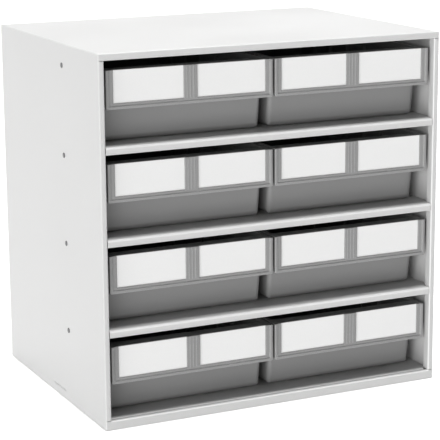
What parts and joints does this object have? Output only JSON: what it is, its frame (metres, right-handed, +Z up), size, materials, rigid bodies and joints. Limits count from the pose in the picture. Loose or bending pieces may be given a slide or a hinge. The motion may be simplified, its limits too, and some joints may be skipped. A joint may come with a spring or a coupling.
{
  "type": "parts bin cabinet",
  "caption": "Sheet-steel cabinet open at the front, with shelves that carry moulded sliding bins; each bin has a label holder and a finger grip.",
  "frame": {"origin": "middle of the base, on the surface that the cabinet stands on", "axes": "+X to the right seen from the front, -Y out of the open front, +Z up"},
  "size_m": [0.4016, 0.3, 0.395],
  "materials": {
    "case_paint": "light grey powder coat, fine texture, satin",
    "bin_plastic": "mid grey moulded polypropylene, fine grain",
    "card_paper": "blank white card",
    "pin_nylon": "dark grey nylon"
  },
  "bodies": {
    "case": {"case_shell": "case_paint", "back_panel": "case_paint", "shelf_1": "case_paint", "shelf_2": "case_paint", "shelf_3": "case_paint", "floor_tray": "case_paint", "stop_pins_left": "pin_nylon", "stop_pins_right": "pin_nylon"},
    "tray_1_left": {"bin_1_left": "bin_plastic", "cards_1_left": "card_paper"},
    "tray_1_right": {"bin_1_right": "bin_plastic", "cards_1_right": "card_paper"},
    "tray_2_left": {"bin_2_left": "bin_plastic", "cards_2_left": "card_paper"},
    "tray_2_right": {"bin_2_right": "bin_plastic", "cards_2_right": "card_paper"},
    "tray_3_left": {"bin_3_left": "bin_plastic", "cards_3_left": "card_paper"},
    "tray_3_right": {"bin_3_right": "bin_plastic", "cards_3_right": "card_paper"},
    "tray_4_left": {"bin_4_left": "bin_plastic", "cards_4_left": "card_paper"},
    "tray_4_right": {"bin_4_right": "bin_plastic", "cards_4_right": "card_paper"}
  },
  "joints": [
    {"name": "slide_1_left", "type": "slide", "parent": "case", "child": "tray_1_left", "axis": [0, -1, 0], "range_m": [0, 0.185]},
    {"name": "slide_1_right", "type": "slide", "parent": "case", "child": "tray_1_right", "axis": [0, -1, 0], "range_m": [0, 0.185]},
    {"name": "slide_2_left", "type": "slide", "parent": "case", "child": "tray_2_left", "axis": [0, -1, 0], "range_m": [0, 0.185]},
    {"name": "slide_2_right", "type": "slide", "parent": "case", "child": "tray_2_right", "axis": [0, -1, 0], "range_m": [0, 0.185]},
    {"name": "slide_3_left", "type": "slide", "parent": "case", "child": "tray_3_left", "axis": [0, -1, 0], "range_m": [0, 0.185]},
    {"name": "slide_3_right", "type": "slide", "parent": "case", "child": "tray_3_right", "axis": [0, -1, 0], "range_m": [0, 0.185]},
    {"name": "slide_4_left", "type": "slide", "parent": "case", "child": "tray_4_left", "axis": [0, -1, 0], "range_m": [0, 0.185]},
    {"name": "slide_4_right", "type": "slide", "parent": "case", "child": "tray_4_right", "axis": [0, -1, 0], "range_m": [0, 0.185]}
  ]
}
